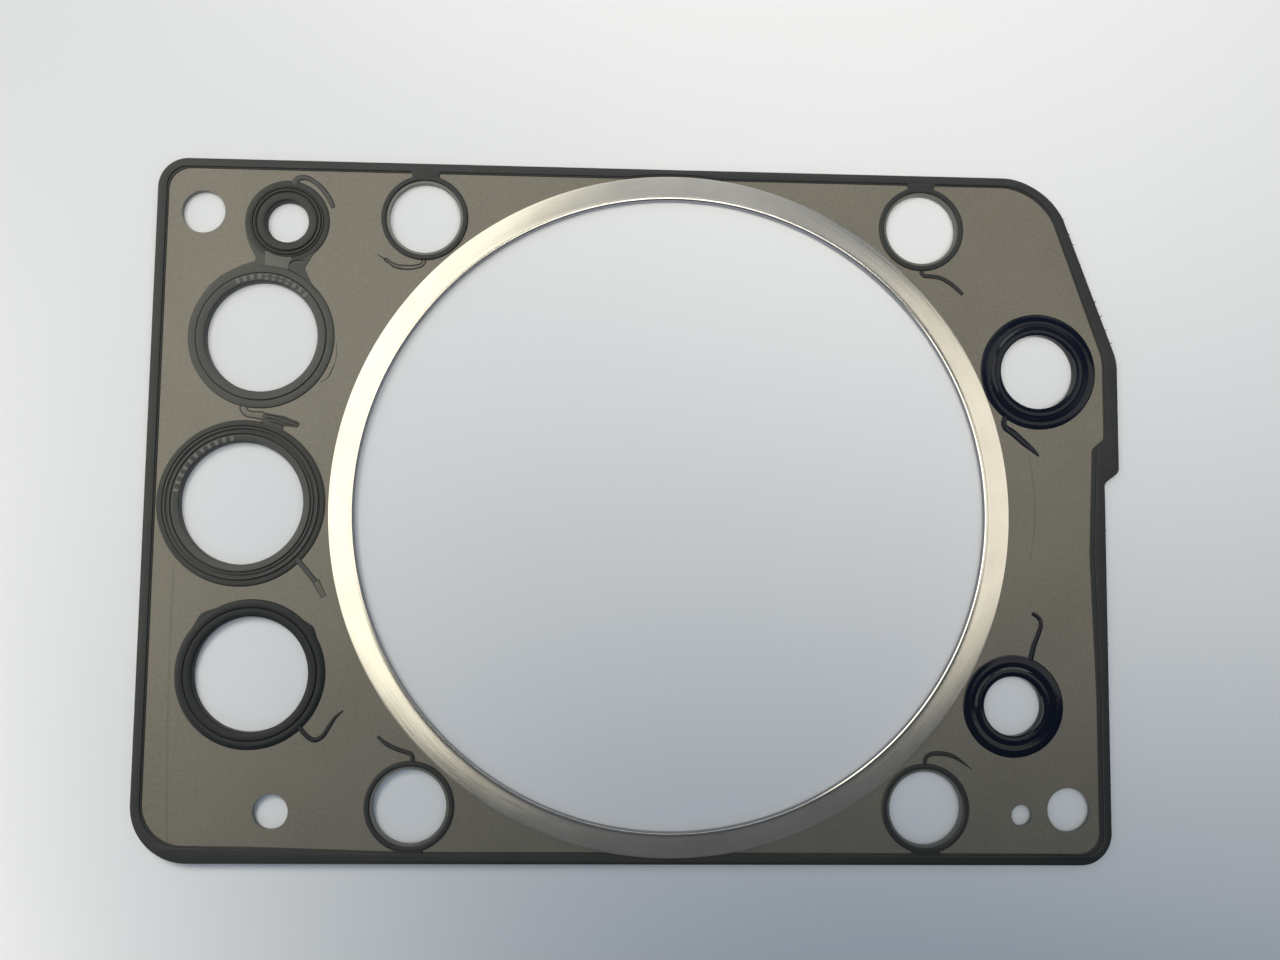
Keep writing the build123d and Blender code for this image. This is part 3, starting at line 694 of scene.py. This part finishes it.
# ---- floor and light ----
# The gasket lies on a sheet of pale paper, in a room with a window at the left and another at
# the top. Some lamps light it, and others are only what its metal and rubber mirror.
bpy.ops.object.select_all(action="DESELECT")
bpy.ops.mesh.primitive_plane_add(size=6, location=(0, 0, -crest / 1000))
floor = bpy.context.object
floor.name = "floor"
paper, tree, shader = new_finish("pale paper", (0.78, 0.78, 0.775), 0.7)
tree.links.new(mixed(tree, grain(tree, 12.0), (0.77, 0.77, 0.765), (0.80, 0.80, 0.795)),
               shader.inputs["Base Color"])
floor.data.materials.append(paper)


def lamp(name, place, aim, size, power, colour, beam=180):
    """Soft lamp, (across, along) in size, aimed at a place; the camera doesn't see it."""
    bpy.ops.object.light_add(type="AREA", location=place)
    light = bpy.context.object
    light.name = name
    light.rotation_euler = (Vector(aim) - Vector(place)).to_track_quat("-Z", "Y").to_euler()
    light.data.shape = "RECTANGLE"
    light.data.size, light.data.size_y = size
    light.data.energy = power
    light.data.color = colour
    light.data.spread = math.radians(beam)
    light.visible_camera = False
    return light


# these light the gasket and the paper, and aren't mirrored
warm = (1.0, 0.95, 0.85)
for light in (lamp("window", (-0.258, 0.066, 0.305), (-0.30, -0.20, 0), (0.26, 0.26), 0.76,
                   warm, beam=80),
              lamp("ceiling", (-0.02, 0.06, 0.36), (0.154, 0.578, 0), (0.4, 0.26), 1.78, warm,
                   beam=155),
              lamp("sky", (0.0, 0.0, 1.2), (0.0, 0.0, 0.0), (3.0, 3.0), 9.0,
                   (0.63, 0.78, 1.0))):
    light.visible_glossy = False
# these are only mirrored, seen from above: a bright wall to the left, a grey ceiling with a
# window behind it, a cream wall to the right, the room's dim front, and a long left window
room_height = 0.60
mirrored = [lamp(name, (x, y, room_height), (x, y, 0), size, power, colour)
            for name, x, y, size, power, colour in (
                ("bright wall", -0.345, 0.14, (0.55, 0.56), 1.95, (1.0, 0.96, 0.80)),
                ("grey ceiling", 0.045, 0.33, (0.27, 0.38), 0.155, (1.0, 0.98, 0.94)),
                ("top window", 0.30, 0.75, (1.2, 0.44), 5.6, (1.0, 0.98, 0.92)),
                ("cream wall", 0.56, 0.065, (0.76, 0.30), 1.0, (1.0, 0.94, 0.80)),
                ("dim front", 0.08, -0.30, (0.75, 0.4), 0.047, (1.0, 0.68, 0.40)))]
mirrored.append(lamp("left window", (-0.77, 0.20, 0.36), (0, 0, 0), (1.9, 0.6), 10.8,
                     (1.0, 0.96, 0.84)))
for light in mirrored:
    light.visible_diffuse = False
world = bpy.data.worlds.new("room")
bpy.context.scene.world = world
world.use_nodes = True
background = world.node_tree.nodes["Background"]
background.inputs["Color"].default_value = (0.56, 0.76, 1.0, 1)
background.inputs["Strength"].default_value = 0.13

bpy.context.scene.view_settings.view_transform = "Standard"
